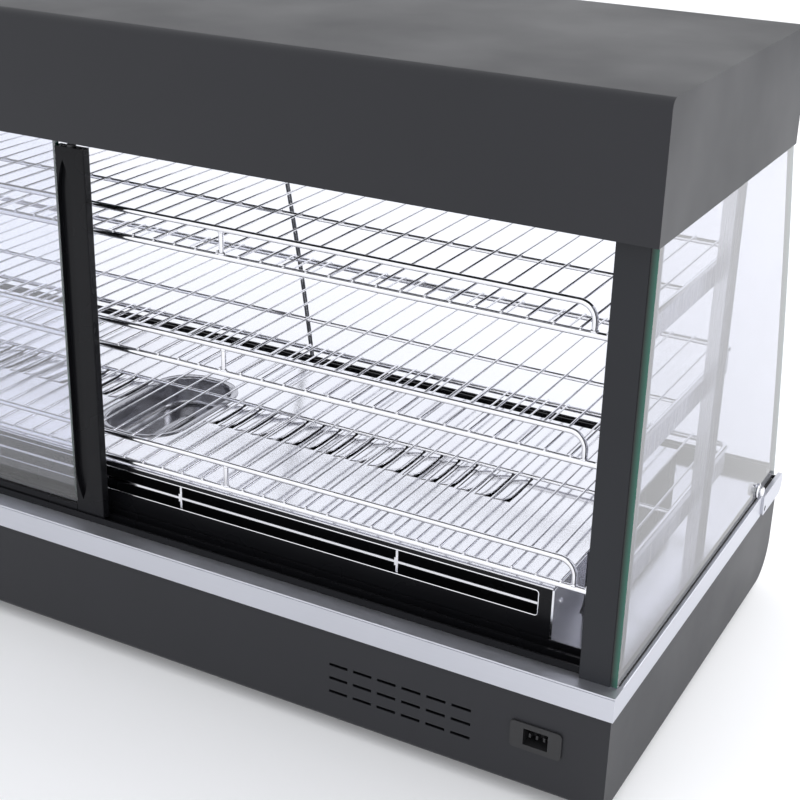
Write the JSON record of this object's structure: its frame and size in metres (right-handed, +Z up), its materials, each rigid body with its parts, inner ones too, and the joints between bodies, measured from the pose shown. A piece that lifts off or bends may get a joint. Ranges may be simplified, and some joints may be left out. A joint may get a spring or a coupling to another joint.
{
  "type": "heated food display case",
  "caption": "Countertop heated food display case with a leaning curved customer glass, sliding rear doors, wire shelves on slotted uprights and a heated base.",
  "frame": {"origin": "middle of the footprint, on the surface that the feet stand on", "axes": "+X along the width, to the right seen from the door side; +Y from the doors to the customer glass; +Z up"},
  "size_m": [1.225, 0.515, 0.655],
  "materials": {
    "black_paint": "satin black powder coat",
    "satin_trim": "satin anodised",
    "black_metal": "semi-gloss black",
    "bright_steel": "bright, fine brushed",
    "upright_steel": "bright",
    "chrome_wire": "polished",
    "clear_glass": "clear, polished edge",
    "door_glass": "faint grey tint",
    "black_rubber": "matt",
    "black_plastic": "moulded, fine texture",
    "control_face": "satin dark grey",
    "readout_lens": "smoked window",
    "pilot_lens": "amber lens",
    "lamp_glass": "frosted quartz",
    "lamp_ceramic": "glazed ceramic"
  },
  "bodies": {
    "case": {"base_deck": "bright_steel", "base_ends": "black_paint", "base_tub": "black_paint", "canopy_ceiling": "black_metal", "canopy_shell": "black_paint", "control_plate": "control_face", "control_tray": "black_paint", "corner_bracket_left": "satin_trim", "corner_bracket_right": "satin_trim", "deck_plate": "bright_steel", "door_track_lower": "black_metal", "door_track_upper": "black_metal", "glass_knobs": "chrome_wire", "guard_rail_bottom": "chrome_wire", "guard_rail_middle": "chrome_wire", "guard_rail_top": "chrome_wire", "heat_lamps": "lamp_glass", "heater_box": "black_metal", "heater_end_plates": "bright_steel", "heating_elements": "bright_steel", "lamp_holders": "lamp_ceramic", "mains_inlet": "black_plastic", "pilot_lamp": "pilot_lens", "post_left": "black_metal", "post_right": "black_metal", "readout": "readout_lens", "rubber_feet": "black_rubber", "shelf_arms_bottom": "upright_steel", "shelf_arms_middle": "upright_steel", "shelf_arms_top": "upright_steel", "shelf_bottom": "chrome_wire", "shelf_middle": "chrome_wire", "shelf_top": "chrome_wire", "side_glass_left": "clear_glass", "side_glass_right": "clear_glass", "side_seals": "black_rubber", "slot_bar": "bright_steel", "small_screws": "chrome_wire", "switch_frames": "black_plastic", "trim_customer": "satin_trim", "trim_left": "satin_trim", "trim_operator": "satin_trim", "trim_right": "satin_trim", "upright_rear_left": "upright_steel", "upright_rear_right": "upright_steel", "uprights_front": "upright_steel", "water_pan": "bright_steel"},
    "right_door": {"door_frame_right": "black_metal", "door_glass_right": "door_glass", "door_guides_right": "black_plastic"},
    "left_door": {"door_frame_left": "black_metal", "door_glass_left": "door_glass", "door_guides_left": "black_plastic"},
    "customer_glass": {"customer_rail": "black_metal", "customer_pane_right": "clear_glass", "customer_pane_left": "clear_glass", "customer_joint": "black_rubber"},
    "dial": {"thermostat_dial": "black_plastic"},
    "power_switch": {"power_rocker": "black_plastic"},
    "light_switch": {"light_rocker": "black_plastic"}
  },
  "joints": [
    {"name": "right_door_slide", "type": "slide", "parent": "case", "child": "right_door", "axis": [1, 0, 0], "range_m": [0, 0.5255]},
    {"name": "left_door_slide", "type": "slide", "parent": "case", "child": "left_door", "axis": [1, 0, 0], "range_m": [0, 0.574]},
    {"name": "customer_glass_tilt", "type": "hinge", "parent": "case", "child": "customer_glass", "pos_m": [0, 0.2505, 0.131], "axis": [-1, 0, 0], "range_deg": [0, 40]},
    {"name": "thermostat_turn", "type": "hinge", "parent": "case", "child": "dial", "pos_m": [-0.292, -0.2375, 0.068], "axis": [0, 1, 0], "range_deg": [0, 270]},
    {"name": "power_rock", "type": "hinge", "parent": "case", "child": "power_switch", "pos_m": [-0.495, -0.2345, 0.068], "axis": [1, 0, 0], "range_deg": [-8, 8]},
    {"name": "light_rock", "type": "hinge", "parent": "case", "child": "light_switch", "pos_m": [-0.45, -0.2345, 0.068], "axis": [1, 0, 0], "range_deg": [-8, 8]}
  ]
}
